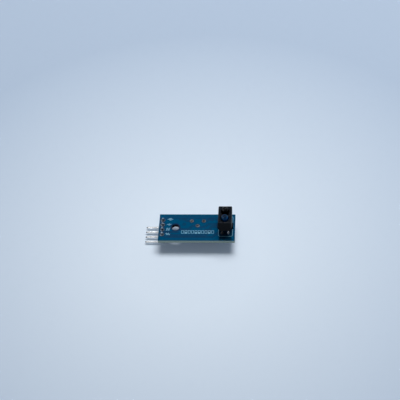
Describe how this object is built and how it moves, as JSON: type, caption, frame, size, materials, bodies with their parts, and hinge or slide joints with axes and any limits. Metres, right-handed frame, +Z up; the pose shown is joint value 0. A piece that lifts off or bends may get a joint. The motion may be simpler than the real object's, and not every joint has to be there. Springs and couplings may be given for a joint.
{
  "type": "infrared line tracking sensor module",
  "caption": "Infrared line tracking sensor module: a reflective sensor clipped upright on a small circuit board with a bent pin header and a trimmer under the board.",
  "frame": {"origin": "centre of the box's underside, on the trimmer's face, which the module stands on", "axes": "+X from the header pins to the sensor end, +Y across the board away from the emitter, +Z up through the board towards the sensor"},
  "size_m": [0.038, 0.014, 0.0151],
  "materials": {
    "solder_mask": "satin blue-green solder mask over glass laminate",
    "white_ink": "matt printed ink",
    "tin": "bright solder and tinned copper",
    "plated_pin": "satin plated pins",
    "black_plastic": "fine moulded black plastic",
    "detector_resin": "glossy dark resin that passes infrared light",
    "emitter_resin": "glossy blue tinted clear resin",
    "trimmer_plastic": "satin blue plastic",
    "rotor_plastic": "matt white plastic",
    "element_ceramic": "matt fired ceramic",
    "backfill_resin": "dull sealing resin",
    "wiper_metal": "spring metal",
    "lamp_resin": "clear milky resin",
    "capacitor_ceramic": "matt tan ceramic",
    "die_crystal": "sawn semiconductor crystal"
  },
  "bodies": {
    "module": {"circuit_board": "solder_mask", "top_lands": "tin", "bottom_lands": "tin", "sensor_outline_print": "white_ink", "code_print": "white_ink", "sensor_housing": "black_plastic", "emitter": "emitter_resin", "detector": "detector_resin", "emitter_die": "die_crystal", "detector_die": "die_crystal", "emitter_lead_1": "plated_pin", "emitter_lead_2": "plated_pin", "detector_lead_1": "plated_pin", "detector_lead_2": "plated_pin", "emitter_joint_1": "tin", "emitter_joint_2": "tin", "detector_joint_1": "tin", "detector_joint_2": "tin", "header_block": "black_plastic", "header_pin_1": "plated_pin", "header_pin_2": "plated_pin", "header_pin_3": "plated_pin", "header_pin_4": "plated_pin", "header_joint_1": "tin", "header_joint_2": "tin", "header_joint_3": "tin", "header_joint_4": "tin", "trimmer_housing": "trimmer_plastic", "trimmer_element": "element_ceramic", "trimmer_backfill": "backfill_resin", "trimmer_pin_1": "plated_pin", "trimmer_pin_2": "plated_pin", "trimmer_pin_3": "plated_pin", "trimmer_joint_1": "tin", "trimmer_joint_2": "tin", "trimmer_joint_3": "tin", "comparator_body": "black_plastic", "comparator_lead_1": "tin", "comparator_lead_2": "tin", "comparator_lead_3": "tin", "comparator_lead_4": "tin", "comparator_lead_5": "tin", "comparator_lead_6": "tin", "comparator_lead_7": "tin", "comparator_lead_8": "tin", "power_lamp": "lamp_resin", "signal_lamp": "lamp_resin", "capacitor_1": "capacitor_ceramic", "capacitor_2": "capacitor_ceramic", "resistor_1": "black_plastic", "resistor_2": "black_plastic", "resistor_3": "black_plastic", "resistor_4": "black_plastic", "resistor_5": "black_plastic", "resistor_6": "black_plastic", "chip_ends": "tin", "chip_solder": "tin"},
    "rotor": {"trimmer_rotor": "rotor_plastic", "trimmer_wiper": "wiper_metal"}
  },
  "joints": [
    {"name": "trimmer_turn", "type": "hinge", "parent": "module", "child": "rotor", "pos_m": [0.0032, 0.0021, 0.001], "axis": [0, 0, 1], "range_deg": [-120, 120]}
  ]
}
